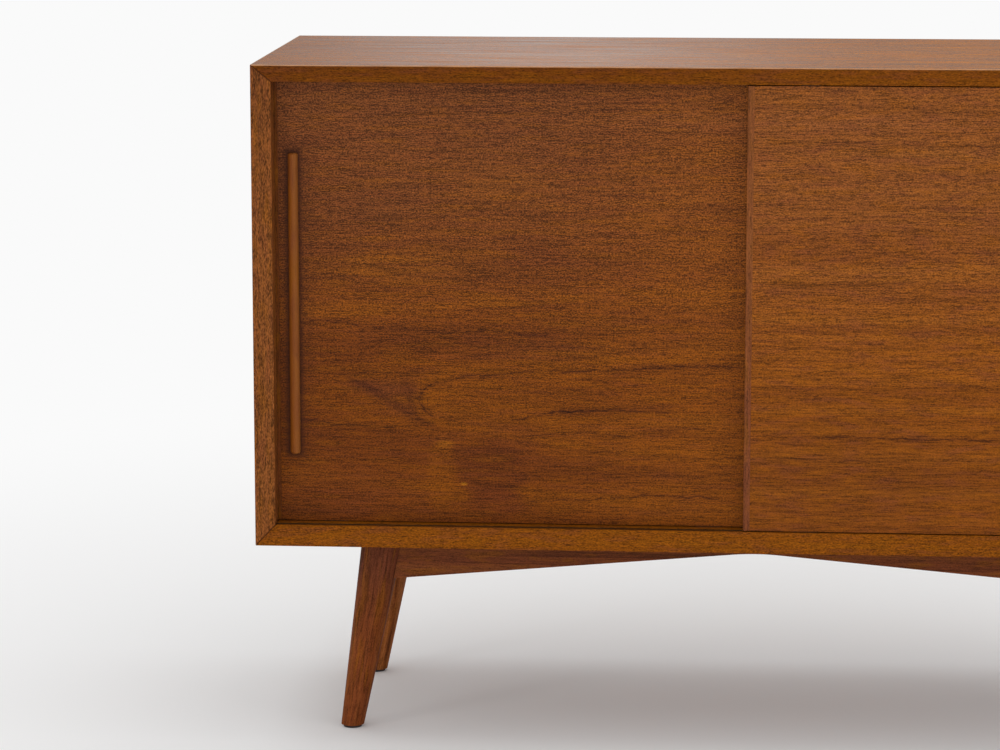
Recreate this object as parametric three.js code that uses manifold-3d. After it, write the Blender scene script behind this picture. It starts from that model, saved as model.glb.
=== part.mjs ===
// Sliding door cabinet: a mitred teak case on a splayed leg base, with two doors that pass each other.
// Millimetres, +X to the viewer's right, +Y to the back, +Z up, origin on the floor under the case's middle.
import * as THREE from "three";
import { mergeVertices } from "three/addons/utils/BufferGeometryUtils.js";
import Module from "manifold-3d";

const wasm = await Module();
wasm.setup();

// Overall sizes
const cabinetWidth = 1220;
const cabinetDepth = 457;
const cabinetHeight = 838;
const legHeight = 250;

// Case boards
const boardThickness = 22;
const bevelDepth = 19;
const dividerThickness = 18;
const dividerSetback = 64.5;
const dadoDepth = 5;
const backThickness = 5.5;
const rabbetWidth = 9;
const splineThickness = 3;
const splineWidth = 14;
const splineFrontStop = 45;
const splineBackStop = 20;

// Shelves and their pins
const shelfThickness = 18;
const shelfSetback = 6;
const shelfSideGap = 1.2;
const pinRadius = 2.5;
const pinHeadRadius = 4;
const pinInBoard = 8;
const pinReach = 9;
const pinHoleDepth = 9;
const pinInset = 48;
const pinHolePitch = 32;
const pinHolesEachSide = 2;

// Doors
const doorThickness = 16;
const frontDoorSetback = 21.5;
const doorGap = 8;
const doorOverlap = 31.6;
const doorEntry = 3.5;
const doorBottomClearance = 1.2;
const doorTopClearance = 1.5;
const lippingWidth = 8;
const lippingEase = 1.2;
const edgeGrooveDepth = 5;
const edgeGrooveSlack = 1;

// Handles
const handleWidth = 12.6;
const handleLength = 371;
const handleEndRadius = 2.6;
const handleInset = 26;
const handleDrop = 1.65;
const handleScrewSpacing = 240;
const handleScrewBite = 3.6;
const handleScrewShankRadius = 1.8;
const handleScrewHeadRadius = 4;
const handleScrewHeadDepth = 2.4;

// Tracks, glides and guides
const trackGrooveWidth = 10;
const lowerGrooveDepth = 6;
const upperGrooveDepth = 8;
const trackPlate = 1.5;
const trackWall = 1.2;
const finThickness = 2.4;
const finProud = 0.4;
const glideLength = 30;
const glideWidth = 9;
const glideInset = 75;
const pocketDepth = 12;
const glideSlotWidth = 3.2;
const glideFootClearance = 0.5;
const glideRide = 0.3;
const guideTongueThickness = 5.8;
const guideTongueLength = 22;
const guideTongueReach = 7;

// Legs and their pads
const legTopInset = 148;
const legFootInset = 107;
const legTopSetback = 99;
const legFootSetback = 89;
const legTopRadius = 26.5;
const legFootRadius = 14;
const padRadius = 11.5;
const padThickness = 3;
const padStemRadius = 3;
const padStemLength = 14;

// Rails and corner braces
const railThickness = 22;
const railEndHeight = 60;
const railCentreHeight = 19;
const railApexRadius = 340;
const sideRailHeight = 58;
const tenonThickness = 10;
const tenonShoulder = 13;
const tenonStop = 10;
const braceHeight = 36;
const braceOffset = 31.2;
const braceThickness = 20;
const braceScrewSpread = 32;
const braceScrewRadius = 2.2;
const braceScrewHeadRadius = 4.5;
const braceScrewSink = 8;
const braceScrewBite = 14;

// Screw holes of the back panel
const backScrewShankRadius = 1.5;
const backScrewHeadRadius = 3.5;
const backScrewHeadDepth = 2;
const backScrewLength = 20;
const backScrewsAcross = 5;
const backScrewsUp = 3;
const backScrewEndInset = 60;

// Clearances
const fitGap = 0.3;
const glueLine = 0.1;
const mitreRelief = 0.2;
const overrun = 5;

// Facets round each kind of turned surface
const legFacets = 48;
const handleFacets = 24;
const handleEndFacets = 2;
const padFacets = 24;
const pinFacets = 12;
const holeFacets = 8;
const easeFacets = 3;
const crownFacets = 12;

// Planes that several pieces share
const frontPlane = -cabinetDepth / 2;
const backPlane = cabinetDepth / 2;
const caseBottom = legHeight;
const caseTop = cabinetHeight;
const caseMiddle = (caseBottom + caseTop) / 2;
const caseHeight = caseTop - caseBottom;
const insideBottom = caseBottom + boardThickness;
const insideTop = caseTop - boardThickness;
const insideHalf = cabinetWidth / 2 - boardThickness;
const rabbetDepth = backThickness + fitGap;
const backPanelFront = backPlane - backThickness;
const dividerFront = frontPlane + dividerSetback;
const baseTop = caseBottom - fitGap;

const finishes = {
  caseTeak: { color: 0x7a4622, roughness: 0.48, metalness: 0 },
  doorTeak: { color: 0x703f1c, roughness: 0.5, metalness: 0 },
  lippingTeak: { color: 0x784628, roughness: 0.5, metalness: 0 },
  handleTeak: { color: 0x76421c, roughness: 0.42, metalness: 0 },
  legTeak: { color: 0x69371c, roughness: 0.5, metalness: 0 },
  railTeak: { color: 0x5f3219, roughness: 0.55, metalness: 0 },
  innerTeak: { color: 0x84502c, roughness: 0.6, metalness: 0 },
  plywood: { color: 0xa98459, roughness: 0.7, metalness: 0 },
  hardwood: { color: 0xa47c50, roughness: 0.7, metalness: 0 },
  trackPlastic: { color: 0x6b4a2e, roughness: 0.45, metalness: 0 },
  nylon: { color: 0xd9d4c6, roughness: 0.5, metalness: 0 },
  padPlastic: { color: 0x1c1a19, roughness: 0.6, metalness: 0 },
  steel: { color: 0xa8a9ab, roughness: 0.35, metalness: 1 },
};

// Solids and meshes

function solidOf(geometry) {
  const bare = geometry.clone();
  bare.deleteAttribute("normal");
  bare.deleteAttribute("uv");
  const merged = mergeVertices(bare);
  return new wasm.Manifold(
    new wasm.Mesh({
      numProp: 3,
      vertProperties: new Float32Array(merged.attributes.position.array),
      triVerts: Uint32Array.from(merged.index.array),
    }),
  );
}

function geometryOf(solid) {
  const mesh = solid.getMesh();
  const geometry = new THREE.BufferGeometry();
  geometry.setAttribute("position", new THREE.BufferAttribute(mesh.vertProperties, 3));
  geometry.setIndex(new THREE.BufferAttribute(mesh.triVerts, 1));
  const faceted = geometry.toNonIndexed();
  faceted.computeVertexNormals();
  return faceted;
}

function cutFrom(solid, cutters) {
  return cutters.reduce((rest, cutter) => rest.subtract(cutter), solid);
}

function joined(solids) {
  return solids.reduce((whole, next) => whole.add(next));
}

// Box between two corners, given as ranges along each axis
function boxGeometry([x0, x1], [y0, y1], [z0, z1]) {
  const box = new THREE.BoxGeometry(x1 - x0, y1 - y0, z1 - z0);
  return box.translate((x0 + x1) / 2, (y0 + y1) / 2, (z0 + z1) / 2);
}

function boxSolid(xRange, yRange, zRange) {
  return solidOf(boxGeometry(xRange, yRange, zRange));
}

function ordered(a, b) {
  return a < b ? [a, b] : [b, a];
}

// Outline in the plane of Y and Z, extruded along X about its middle
function alongX(points, length) {
  const shape = new THREE.Shape(points.map(([y, z]) => new THREE.Vector2(y, z)));
  const bar = new THREE.ExtrudeGeometry(shape, { depth: length, bevelEnabled: false });
  const turn = new THREE.Matrix4().makeBasis(
    new THREE.Vector3(0, 1, 0),
    new THREE.Vector3(0, 0, 1),
    new THREE.Vector3(1, 0, 0),
  );
  return bar.applyMatrix4(turn).translate(-length / 2, 0, 0);
}

// Outline extruded upward from zero, with facets along each of its arcs
function upward(shape, height, facets) {
  return new THREE.ExtrudeGeometry(shape, { depth: height, bevelEnabled: false, curveSegments: facets });
}

// Turned shape about Z from a profile of radius and height, lowest first
function turned(profile, facets) {
  const lathe = new THREE.LatheGeometry(
    profile.map(([radius, height]) => new THREE.Vector2(radius, height)),
    facets,
  );
  return lathe.rotateX(Math.PI / 2);
}

function addMesh(parent, name, geometry, finish) {
  const mesh = new THREE.Mesh(geometry, new THREE.MeshStandardMaterial(finishes[finish]));
  mesh.name = name;
  parent.add(mesh);
  return mesh;
}

const cabinet = new THREE.Group();

// Case boards, mitred at the corners and bevelled along the front

function mitredBoard(length) {
  const profile = [
    [frontPlane, 0],
    [backPlane, 0],
    [backPlane, -boardThickness],
    [frontPlane + bevelDepth, -boardThickness],
  ];
  const board = alongX([...profile].reverse(), length);
  const place = board.attributes.position;
  for (let i = 0; i < place.count; i++) {
    const inward = -place.getZ(i);
    const reach = length / 2 - inward - mitreRelief;
    place.setX(i, Math.sign(place.getX(i)) * reach);
  }
  return board;
}

// A board's outer face stands at a distance from the case's middle, turned about the depth axis
function placedBoard(length, distance, angle) {
  const board = mitredBoard(length).translate(0, 0, distance);
  return board.rotateY(angle).translate(0, 0, caseMiddle);
}

const backRabbet = boxSolid(
  [-insideHalf - rabbetWidth, insideHalf + rabbetWidth],
  [backPlane - rabbetDepth, backPlane + overrun],
  [insideBottom - rabbetWidth, insideTop + rabbetWidth],
);

// Splines cross each mitre at the middle of the board's thickness

const splineCorners = [
  ["top_left", -1, 1],
  ["top_right", 1, 1],
  ["bottom_left", -1, -1],
  ["bottom_right", 1, -1],
];

function splineGeometry(sideX, sideZ, grow) {
  const spline = boxGeometry(
    [-splineWidth / 2 - grow, splineWidth / 2 + grow],
    [frontPlane + splineFrontStop - grow, backPlane - splineBackStop + grow],
    [-splineThickness / 2 - grow, splineThickness / 2 + grow],
  );
  spline.rotateY((sideX * sideZ * Math.PI) / 4);
  return spline.translate(
    sideX * (insideHalf + boardThickness / 2),
    0,
    caseMiddle + sideZ * (caseHeight / 2 - boardThickness / 2),
  );
}

const splineSlots = splineCorners.map(([, sideX, sideZ]) => solidOf(splineGeometry(sideX, sideZ, fitGap)));

for (const [corner, sideX, sideZ] of splineCorners) {
  addMesh(cabinet, `corner_spline_${corner}`, splineGeometry(sideX, sideZ, 0), "plywood");
}

// Door planes: the right door runs in front, the left door behind it

const doorTracks = {
  front: { face: frontPlane + frontDoorSetback },
  rear: { face: frontPlane + frontDoorSetback + doorThickness + doorGap },
};
for (const track of Object.values(doorTracks)) {
  track.middle = track.face + doorThickness / 2;
}

function edgeGroove(side, track) {
  return boxSolid(
    ordered(side * (insideHalf - overrun), side * (insideHalf + edgeGrooveDepth)),
    [track.face - edgeGrooveSlack, track.face + doorThickness + edgeGrooveSlack],
    [insideBottom, insideTop],
  );
}

function trackGroove(track, from, to) {
  return boxSolid(
    [-insideHalf, insideHalf],
    [track.middle - trackGrooveWidth / 2, track.middle + trackGrooveWidth / 2],
    ordered(from, to),
  );
}

const dividerDadoes = [
  ordered(insideBottom - dadoDepth, insideBottom + overrun),
  ordered(insideTop + dadoDepth, insideTop - overrun),
].map((height) =>
  boxSolid(
    [-dividerThickness / 2 - fitGap, dividerThickness / 2 + fitGap],
    [dividerFront - fitGap, backPlane],
    height,
  ),
);

// Shelf pins and the rows of holes that they fit

const shelfUnderside = caseMiddle - shelfThickness / 2;
const pinHeight = shelfUnderside - fitGap - pinHeadRadius;
const pinDepths = [dividerFront + pinInset, backPanelFront - pinInset];
const pinWalls = {
  left: [
    { x: -insideHalf, into: -1 },
    { x: -dividerThickness / 2, into: 1 },
  ],
  right: [
    { x: dividerThickness / 2, into: -1 },
    { x: insideHalf, into: 1 },
  ],
};

function pinHoles(wall) {
  const holes = [];
  for (const y of pinDepths) {
    for (let step = -pinHolesEachSide; step <= pinHolesEachSide; step++) {
      const radius = pinRadius + fitGap;
      const hole = new THREE.CylinderGeometry(radius, radius, pinHoleDepth + overrun, holeFacets);
      hole.rotateZ(Math.PI / 2);
      hole.translate(wall.x + (wall.into * (pinHoleDepth - overrun)) / 2, y, pinHeight + step * pinHolePitch);
      holes.push(solidOf(hole));
    }
  }
  return holes;
}

function shelfPin() {
  return turned(
    [
      [0, -pinInBoard],
      [pinRadius, -pinInBoard],
      [pinRadius, fitGap],
      [pinHeadRadius, fitGap],
      [pinHeadRadius, pinReach],
      [0, pinReach],
    ],
    pinFacets,
  );
}

function addPins(bay) {
  pinWalls[bay].forEach((wall, wallIndex) =>
    pinDepths.forEach((y, depthIndex) => {
      const number = wallIndex * pinDepths.length + depthIndex + 1;
      const pin = addMesh(cabinet, `${bay}_shelf_pin_${number}`, shelfPin(), "steel");
      pin.position.set(wall.x, y, pinHeight);
      pin.rotation.y = (-wall.into * Math.PI) / 2;
    }),
  );
}

// Countersunk screw about Z, its head's face at zero, and thicker by grow for the hole that it fits

function countersunkScrew(headRadius, headDepth, shankRadius, length, grow, rise) {
  return turned(
    [
      [0, -length - grow],
      [shankRadius + grow, -length - grow],
      [shankRadius + grow, -headDepth],
      [headRadius + grow, 0],
      [headRadius + grow, rise],
      [0, rise],
    ],
    holeFacets,
  );
}

function spread(count, half) {
  return Array.from({ length: count }, (_, i) => -half + (2 * half * i) / (count - 1));
}

const screwRowX = insideHalf + rabbetWidth / 2;
const screwRowZ = (insideTop - insideBottom + rabbetWidth) / 2;
const screwsAcross = spread(backScrewsAcross, insideHalf - backScrewEndInset);
const screwsUp = spread(backScrewsUp, (insideTop - insideBottom) / 2 - backScrewEndInset);
const backScrewPlaces = [
  ...screwsAcross.flatMap((x) => [
    [x, caseMiddle - screwRowZ],
    [x, caseMiddle + screwRowZ],
  ]),
  ...screwsUp.flatMap((z) => [
    [-screwRowX, caseMiddle + z],
    [screwRowX, caseMiddle + z],
  ]),
  ...screwsUp.filter((z) => z !== 0).map((z) => [0, caseMiddle + z]),
];

const backScrewHoles = backScrewPlaces.map(([x, z]) => {
  const hole = countersunkScrew(
    backScrewHeadRadius,
    backScrewHeadDepth,
    backScrewShankRadius,
    backScrewLength,
    fitGap,
    overrun,
  );
  return solidOf(hole.rotateX(-Math.PI / 2).translate(x, backPlane, z));
});

// Base: places of the legs, rails and braces

// Middle of a leg at a height above the floor, on the side of signs sideX and sideY
function legMiddle(sideX, sideY, height) {
  const share = height / legHeight;
  const inset = legFootInset + (legTopInset - legFootInset) * share;
  const setback = legFootSetback + (legTopSetback - legFootSetback) * share;
  return new THREE.Vector3(
    sideX * (cabinetWidth / 2 - inset),
    sideY * (cabinetDepth / 2 - setback),
    height,
  );
}

const jointHeight = caseBottom - railEndHeight / 2;
const jointPlace = legMiddle(1, 1, jointHeight);
const railPlaneX = jointPlace.x;
const railPlaneY = jointPlace.y;

const legCorners = [
  ["front_left", -1, -1],
  ["front_right", 1, -1],
  ["rear_left", -1, 1],
  ["rear_right", 1, 1],
];

// Tapered round leg before its joints are cut, thicker by grow all round
function legCone(sideX, sideY, grow) {
  const foot = legMiddle(sideX, sideY, 0);
  const top = legMiddle(sideX, sideY, legHeight);
  const axis = top.clone().sub(foot);
  const length = axis.length();
  const taper = ((legTopRadius - legFootRadius) * overrun) / length;
  const cone = new THREE.CylinderGeometry(
    legTopRadius + taper + grow,
    legFootRadius - taper + grow,
    length + 2 * overrun,
    legFacets,
  );
  const lean = new THREE.Quaternion().setFromUnitVectors(new THREE.Vector3(0, 0, 1), axis.normalize());
  cone.rotateX(Math.PI / 2).applyQuaternion(lean);
  const middle = foot.add(top).multiplyScalar(0.5);
  return solidOf(cone.translate(middle.x, middle.y, middle.z));
}

const tenonTop = baseTop - tenonShoulder;
const frontTenonBottom = caseBottom - railEndHeight + tenonShoulder;
const sideTenonBottom = caseBottom - sideRailHeight + tenonShoulder;

// Tenon of the front or rear rail on one side: it stops short of the leg's middle
function longRailTenon(sideX, sideY, grow) {
  const middle = sideY * railPlaneY;
  return boxSolid(
    ordered(sideX * (railPlaneX - tenonStop + grow), sideX * (railPlaneX - legTopRadius - tenonShoulder)),
    [middle - tenonThickness / 2 - grow, middle + tenonThickness / 2 + grow],
    [frontTenonBottom - grow, tenonTop + grow],
  );
}

function sideRailTenon(sideX, sideY, grow) {
  const middle = sideX * railPlaneX;
  return boxSolid(
    [middle - tenonThickness / 2 - grow, middle + tenonThickness / 2 + grow],
    ordered(sideY * (railPlaneY - tenonStop + grow), sideY * (railPlaneY - legTopRadius - tenonShoulder)),
    [sideTenonBottom - grow, tenonTop + grow],
  );
}

// Braces stand across the corner behind each leg, in a frame whose X runs from the leg to the middle
function cornerFrame(sideX, sideY) {
  const angle = Math.atan2(-sideY, -sideX);
  return new THREE.Matrix4()
    .makeTranslation(sideX * railPlaneX, sideY * railPlaneY, 0)
    .multiply(new THREE.Matrix4().makeRotationZ(angle));
}

// Counterbored hole up through the brace and into the underside of the case
function braceScrewHole(y) {
  const brim = baseTop - braceHeight - overrun;
  const seat = baseTop - braceHeight + braceScrewSink;
  const tip = caseBottom + braceScrewBite;
  const hole = turned(
    [
      [0, brim],
      [braceScrewHeadRadius, brim],
      [braceScrewHeadRadius, seat],
      [braceScrewRadius, seat],
      [braceScrewRadius, tip],
      [0, tip],
    ],
    holeFacets,
  );
  return hole.translate(braceOffset + braceThickness / 2, y, 0);
}

const braceScrewSides = [-braceScrewSpread / 2, braceScrewSpread / 2];
const braceScrewHoles = legCorners.flatMap(([, sideX, sideY]) =>
  braceScrewSides.map((y) => solidOf(braceScrewHole(y).applyMatrix4(cornerFrame(sideX, sideY)))),
);

// Case

const topBoard = solidOf(placedBoard(cabinetWidth, caseHeight / 2, 0));
const bottomBoard = solidOf(placedBoard(cabinetWidth, caseHeight / 2, Math.PI));
const leftBoard = solidOf(placedBoard(caseHeight, cabinetWidth / 2, -Math.PI / 2));
const rightBoard = solidOf(placedBoard(caseHeight, cabinetWidth / 2, Math.PI / 2));
const trackList = Object.values(doorTracks);

const topCuts = [
  backRabbet,
  ...splineSlots,
  ...dividerDadoes,
  ...backScrewHoles,
  ...trackList.map((track) => trackGroove(track, insideTop - overrun, insideTop + upperGrooveDepth)),
];
const bottomCuts = [
  backRabbet,
  ...splineSlots,
  ...dividerDadoes,
  ...backScrewHoles,
  ...braceScrewHoles,
  ...trackList.map((track) => trackGroove(track, insideBottom + overrun, insideBottom - lowerGrooveDepth)),
];
const leftCuts = [
  backRabbet,
  ...splineSlots,
  ...backScrewHoles,
  ...pinHoles(pinWalls.left[0]),
  edgeGroove(-1, doorTracks.rear),
];
const rightCuts = [
  backRabbet,
  ...splineSlots,
  ...backScrewHoles,
  ...pinHoles(pinWalls.right[1]),
  edgeGroove(1, doorTracks.front),
];

addMesh(cabinet, "top_panel", geometryOf(cutFrom(topBoard, topCuts)), "caseTeak");
addMesh(cabinet, "bottom_panel", geometryOf(cutFrom(bottomBoard, bottomCuts)), "caseTeak");
addMesh(cabinet, "left_side_panel", geometryOf(cutFrom(leftBoard, leftCuts)), "caseTeak");
addMesh(cabinet, "right_side_panel", geometryOf(cutFrom(rightBoard, rightCuts)), "caseTeak");

const dividerBoard = boxSolid(
  [-dividerThickness / 2, dividerThickness / 2],
  [dividerFront, backPanelFront - fitGap],
  [insideBottom - dadoDepth + fitGap, insideTop + dadoDepth - fitGap],
);
const dividerCuts = [...backScrewHoles, ...pinHoles(pinWalls.left[1]), ...pinHoles(pinWalls.right[0])];
addMesh(cabinet, "centre_divider", geometryOf(cutFrom(dividerBoard, dividerCuts)), "innerTeak");

const backBoard = boxSolid(
  [-insideHalf - rabbetWidth + fitGap, insideHalf + rabbetWidth - fitGap],
  [backPanelFront, backPlane],
  [insideBottom - rabbetWidth + fitGap, insideTop + rabbetWidth - fitGap],
);
addMesh(cabinet, "back_panel", geometryOf(cutFrom(backBoard, backScrewHoles)), "plywood");

// Shelves rest on their pins, a little behind the divider's front edge
for (const [bay, side] of [
  ["left", -1],
  ["right", 1],
]) {
  const shelf = boxGeometry(
    ordered(side * (dividerThickness / 2 + shelfSideGap), side * (insideHalf - shelfSideGap)),
    [dividerFront + shelfSetback, backPanelFront - shelfSideGap],
    [shelfUnderside, shelfUnderside + shelfThickness],
  );
  addMesh(cabinet, `${bay}_shelf`, shelf, "innerTeak");
  addPins(bay);
}

// Tracks

const lowerPlateHalf = trackGrooveWidth / 2 - fitGap;
const lowerTrackBottom = insideBottom - lowerGrooveDepth + fitGap;
const lowerPlateTop = lowerTrackBottom + trackPlate;
const finTop = insideBottom + finProud;
const trackLength = 2 * (insideHalf - fitGap);

function lowerTrack() {
  return alongX(
    [
      [-lowerPlateHalf, lowerTrackBottom],
      [lowerPlateHalf, lowerTrackBottom],
      [lowerPlateHalf, lowerPlateTop],
      [finThickness / 2, lowerPlateTop],
      [finThickness / 2, finTop],
      [-finThickness / 2, finTop],
      [-finThickness / 2, lowerPlateTop],
      [-lowerPlateHalf, lowerPlateTop],
    ],
    trackLength,
  );
}

const upperTrackTop = insideTop + upperGrooveDepth - fitGap;

function upperTrack() {
  const inner = lowerPlateHalf - trackWall;
  return alongX(
    [
      [-lowerPlateHalf, insideTop],
      [-inner, insideTop],
      [-inner, upperTrackTop - trackWall],
      [inner, upperTrackTop - trackWall],
      [inner, insideTop],
      [lowerPlateHalf, insideTop],
      [lowerPlateHalf, upperTrackTop],
      [-lowerPlateHalf, upperTrackTop],
    ],
    trackLength,
  );
}

for (const [place, track] of Object.entries(doorTracks)) {
  addMesh(cabinet, `${place}_lower_track`, lowerTrack(), "trackPlastic").position.y = track.middle;
  addMesh(cabinet, `${place}_upper_track`, upperTrack(), "trackPlastic").position.y = track.middle;
}

// Doors, each in its own frame: X from its middle, Y from its face, Z from its lower edge

const doorBottom = insideBottom + doorBottomClearance;
const doorHeight = insideTop - doorTopClearance - doorBottom;
const doorOuterEdge = insideHalf + doorEntry;
const doorWidth = doorOuterEdge + doorOverlap / 2;
const doorMiddleY = doorThickness / 2;
const glideX = doorWidth / 2 - glideInset;
const handleRise = doorHeight / 2 - handleDrop;

function pocket(x, zRange) {
  return boxSolid(
    [x - glideLength / 2 - fitGap, x + glideLength / 2 + fitGap],
    [doorMiddleY - glideWidth / 2 - fitGap, doorMiddleY + glideWidth / 2 + fitGap],
    zRange,
  );
}

// Screw from the door's back face into the handle
function handleScrew(x, z, grow, rise) {
  const length = doorThickness + fitGap + handleScrewBite;
  const screw = countersunkScrew(
    handleScrewHeadRadius,
    handleScrewHeadDepth,
    handleScrewShankRadius,
    length,
    grow,
    rise,
  );
  return solidOf(screw.rotateX(-Math.PI / 2).translate(x, doorThickness, z));
}

function lipping(side) {
  const outer = doorWidth / 2;
  const inner = outer - lippingWidth + glueLine;
  const back = doorThickness;
  const shape = new THREE.Shape();
  shape.moveTo(inner, 0);
  shape.lineTo(outer - lippingEase, 0);
  shape.absarc(outer - lippingEase, lippingEase, lippingEase, -Math.PI / 2, 0, false);
  shape.lineTo(outer, back - lippingEase);
  shape.absarc(outer - lippingEase, back - lippingEase, lippingEase, 0, Math.PI / 2, false);
  shape.lineTo(inner, back);
  const strip = upward(shape, doorHeight, easeFacets);
  return side > 0 ? strip : strip.rotateZ(Math.PI).translate(0, doorThickness, 0);
}

// Half-round bar with rounded end corners, its flat side on the door's face
function halfRoundBar() {
  const half = handleLength / 2;
  const centre = { x: handleWidth / 2 - handleEndRadius, y: half - handleEndRadius };
  const outline = new THREE.Path();
  outline.moveTo(0, -half).lineTo(centre.x, -half);
  outline.absarc(centre.x, -centre.y, handleEndRadius, -Math.PI / 2, 0, false);
  outline.absarc(centre.x, centre.y, handleEndRadius, 0, Math.PI / 2, false);
  outline.lineTo(0, half);
  const profile = outline.getPoints(handleEndFacets).map(({ x, y }) => [x, y]);
  const bar = turned(profile, handleFacets);
  const front = boxSolid(
    [-handleWidth, handleWidth],
    [-handleWidth, -fitGap],
    [-handleLength, handleLength],
  );
  return solidOf(bar.translate(0, -fitGap, 0)).intersect(front);
}

// Glide in the door's lower edge, slotted over the fin of the track
function bottomGlide() {
  const half = glideWidth / 2;
  const slot = glideSlotWidth / 2;
  const foot = lowerPlateTop + glideFootClearance - doorBottom;
  const roof = finTop + glideRide - doorBottom;
  return alongX(
    [
      [-half, foot],
      [-slot, foot],
      [-slot, roof],
      [slot, roof],
      [slot, foot],
      [half, foot],
      [half, pocketDepth],
      [-half, pocketDepth],
    ],
    glideLength,
  );
}

// Guide in the door's upper edge: a block with a thinner tongue that runs in the track
function topGuide() {
  const block = boxSolid(
    [-glideLength / 2, glideLength / 2],
    [-glideWidth / 2, glideWidth / 2],
    [-pocketDepth, 0],
  );
  const tongue = boxSolid(
    [-guideTongueLength / 2, guideTongueLength / 2],
    [-guideTongueThickness / 2, guideTongueThickness / 2],
    [-pocketDepth / 2, guideTongueReach],
  );
  return geometryOf(block.add(tongue));
}

function addDoor(name, side, track) {
  const door = new THREE.Group();
  door.position.set(side * (doorOuterEdge - doorWidth / 2), track.face, doorBottom);
  cabinet.add(door);

  const handleX = side * (doorWidth / 2 - handleInset);
  const screwHeights = [handleRise - handleScrewSpacing / 2, handleRise + handleScrewSpacing / 2];
  const screwHoles = screwHeights.map((z) => handleScrew(handleX, z, fitGap, overrun));
  const pockets = [-glideX, glideX].flatMap((x) => [
    pocket(x, [-overrun, pocketDepth + fitGap]),
    pocket(x, [doorHeight - pocketDepth - fitGap, doorHeight + overrun]),
  ]);
  const core = boxSolid(
    [-doorWidth / 2 + lippingWidth, doorWidth / 2 - lippingWidth],
    [0, doorThickness],
    [0, doorHeight],
  );
  addMesh(door, `${name}_panel`, geometryOf(cutFrom(core, [...screwHoles, ...pockets])), "doorTeak");
  addMesh(door, `${name}_outer_lipping`, lipping(side), "lippingTeak");
  addMesh(door, `${name}_inner_lipping`, lipping(-side), "lippingTeak");

  const bar = halfRoundBar().translate([handleX, 0, handleRise]);
  addMesh(door, `${name}_handle`, geometryOf(cutFrom(bar, screwHoles)), "handleTeak");
  for (const [place, z] of [
    ["lower", screwHeights[0]],
    ["upper", screwHeights[1]],
  ]) {
    addMesh(door, `${name}_handle_screw_${place}`, geometryOf(handleScrew(handleX, z, 0, 0)), "steel");
  }

  for (const [end, x] of [
    ["left", -glideX],
    ["right", glideX],
  ]) {
    addMesh(door, `${name}_glide_${end}`, bottomGlide(), "nylon").position.set(x, doorMiddleY, 0);
    addMesh(door, `${name}_guide_${end}`, topGuide(), "nylon").position.set(x, doorMiddleY, doorHeight);
  }
}

addDoor("left_door", -1, doorTracks.rear);
addDoor("right_door", 1, doorTracks.front);

// Legs: round, tapered and splayed, cut flat under the case and above the pad

const footBottom = padThickness + fitGap;
const legSlab = boxSolid([-cabinetWidth, cabinetWidth], [-cabinetDepth, cabinetDepth], [footBottom, baseTop]);

function padGeometry(grow) {
  return turned(
    [
      [0, -grow],
      [padRadius, -grow],
      [padRadius, padThickness],
      [padStemRadius + grow, padThickness],
      [padStemRadius + grow, padStemLength + grow],
      [0, padStemLength + grow],
    ],
    padFacets,
  );
}

for (const [corner, sideX, sideY] of legCorners) {
  const foot = legMiddle(sideX, sideY, footBottom);
  const cuts = [
    longRailTenon(sideX, sideY, fitGap),
    sideRailTenon(sideX, sideY, fitGap),
    solidOf(padGeometry(fitGap).translate(foot.x, foot.y, 0)),
  ];
  const leg = legCone(sideX, sideY, 0).intersect(legSlab);
  addMesh(cabinet, `leg_${corner}`, geometryOf(cutFrom(leg, cuts)), "legTeak");
  addMesh(cabinet, `foot_pad_${corner}`, padGeometry(0), "padPlastic").position.set(foot.x, foot.y, 0);
}

// Rails: coped to the round legs, with a tenon at each end

const legEnvelopes = legCorners.map(([, sideX, sideY]) => legCone(sideX, sideY, fitGap));

// Front and rear rail: the lower edge rises in a shallow V to a rounded crown
function longRailShape() {
  const slope = (railEndHeight - railCentreHeight) / railPlaneX;
  const angle = Math.atan(slope);
  const crownBottom = caseBottom - railCentreHeight;
  const crownCentre = crownBottom - railApexRadius / Math.cos(angle);
  const shape = new THREE.Shape();
  shape.moveTo(-railPlaneX, baseTop);
  shape.lineTo(-railPlaneX, caseBottom - railEndHeight);
  shape.absarc(0, crownCentre, railApexRadius, Math.PI / 2 + angle, Math.PI / 2 - angle, true);
  shape.lineTo(railPlaneX, caseBottom - railEndHeight);
  shape.lineTo(railPlaneX, baseTop);
  return shape;
}

for (const [name, sideY] of [
  ["front_rail", -1],
  ["rear_rail", 1],
]) {
  const board = upward(longRailShape(), railThickness, crownFacets).rotateX(Math.PI / 2);
  board.translate(0, sideY * railPlaneY + railThickness / 2, 0);
  const tenons = [-1, 1].map((sideX) => longRailTenon(sideX, sideY, 0));
  addMesh(cabinet, name, geometryOf(joined([cutFrom(solidOf(board), legEnvelopes), ...tenons])), "railTeak");
}

for (const [name, sideX] of [
  ["left_side_rail", -1],
  ["right_side_rail", 1],
]) {
  const middle = sideX * railPlaneX;
  const board = boxSolid(
    [middle - railThickness / 2, middle + railThickness / 2],
    [-railPlaneY, railPlaneY],
    [caseBottom - sideRailHeight, baseTop],
  );
  const tenons = [-1, 1].map((sideY) => sideRailTenon(sideX, sideY, 0));
  addMesh(cabinet, name, geometryOf(joined([cutFrom(board, legEnvelopes), ...tenons])), "railTeak");
}

// Corner braces: mitred blocks between the rails, each screwed up into the case

function braceShape() {
  const near = braceOffset;
  const far = braceOffset + braceThickness;
  const inset = (railThickness / 2 + fitGap) * Math.SQRT2;
  const shape = new THREE.Shape();
  shape.moveTo(near, inset - near);
  shape.lineTo(far, inset - far);
  shape.lineTo(far, far - inset);
  shape.lineTo(near, near - inset);
  return shape;
}

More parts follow.
